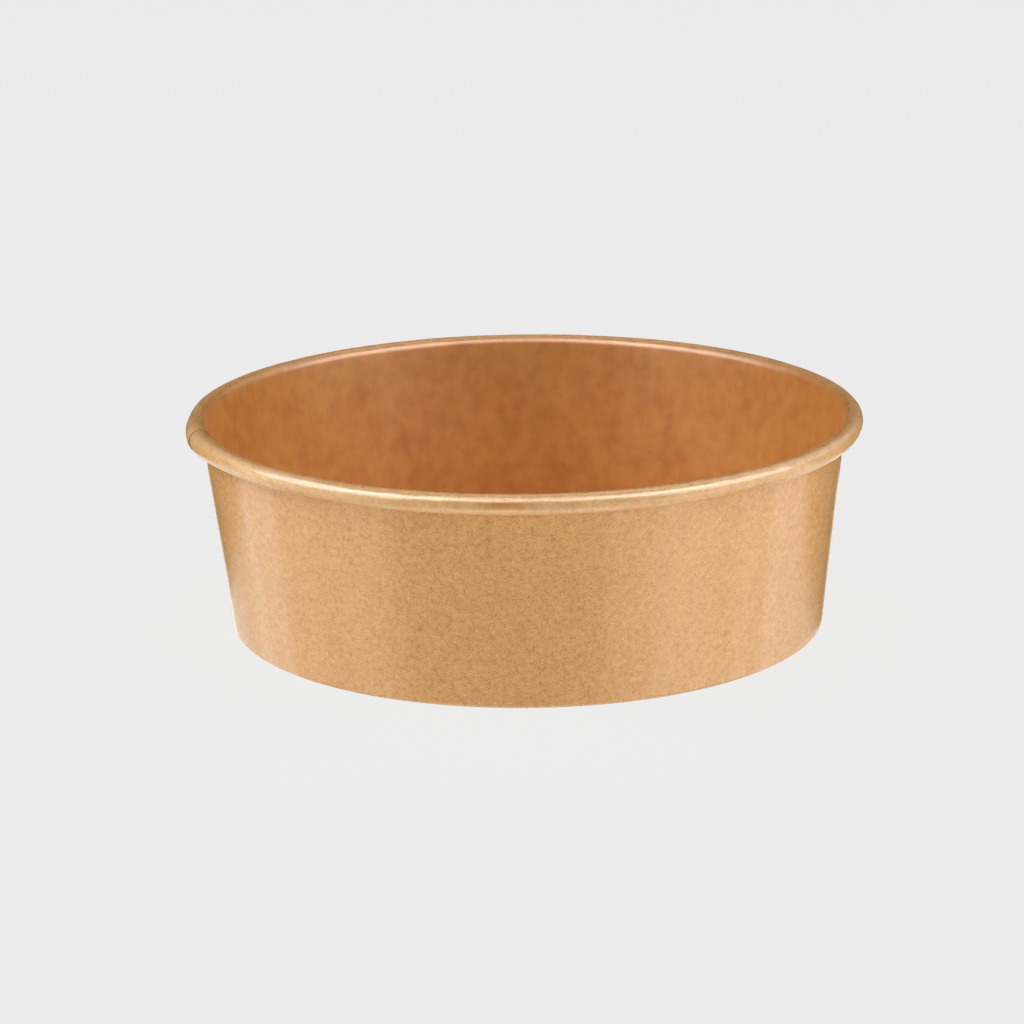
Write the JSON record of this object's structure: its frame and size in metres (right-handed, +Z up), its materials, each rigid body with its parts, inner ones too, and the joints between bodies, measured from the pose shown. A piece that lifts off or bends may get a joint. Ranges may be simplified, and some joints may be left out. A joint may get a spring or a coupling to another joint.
{
  "type": "paper salad bowl",
  "caption": "Round brown paperboard salad bowl: a tapered wrapped wall with a lapped side seam, a rolled rim and a hemmed foot that holds a raised flat base.",
  "frame": {"origin": "on the bowl's axis, in the plane that the foot stands on", "axes": "+Z up the bowl's axis, out of its mouth; -Y towards the camera in the picture, with the side seam's cut edge 14 degrees round from -X towards -Y"},
  "size_m": [0.1501, 0.15, 0.0482],
  "materials": {
    "wall_board": "brown paperboard with a thin clear coating, satin",
    "base_board": "brown paperboard with a thin clear coating, satin"
  },
  "bodies": {
    "root": {"side_wall": "wall_board", "base_disc": "base_board"}
  },
  "joints": []
}
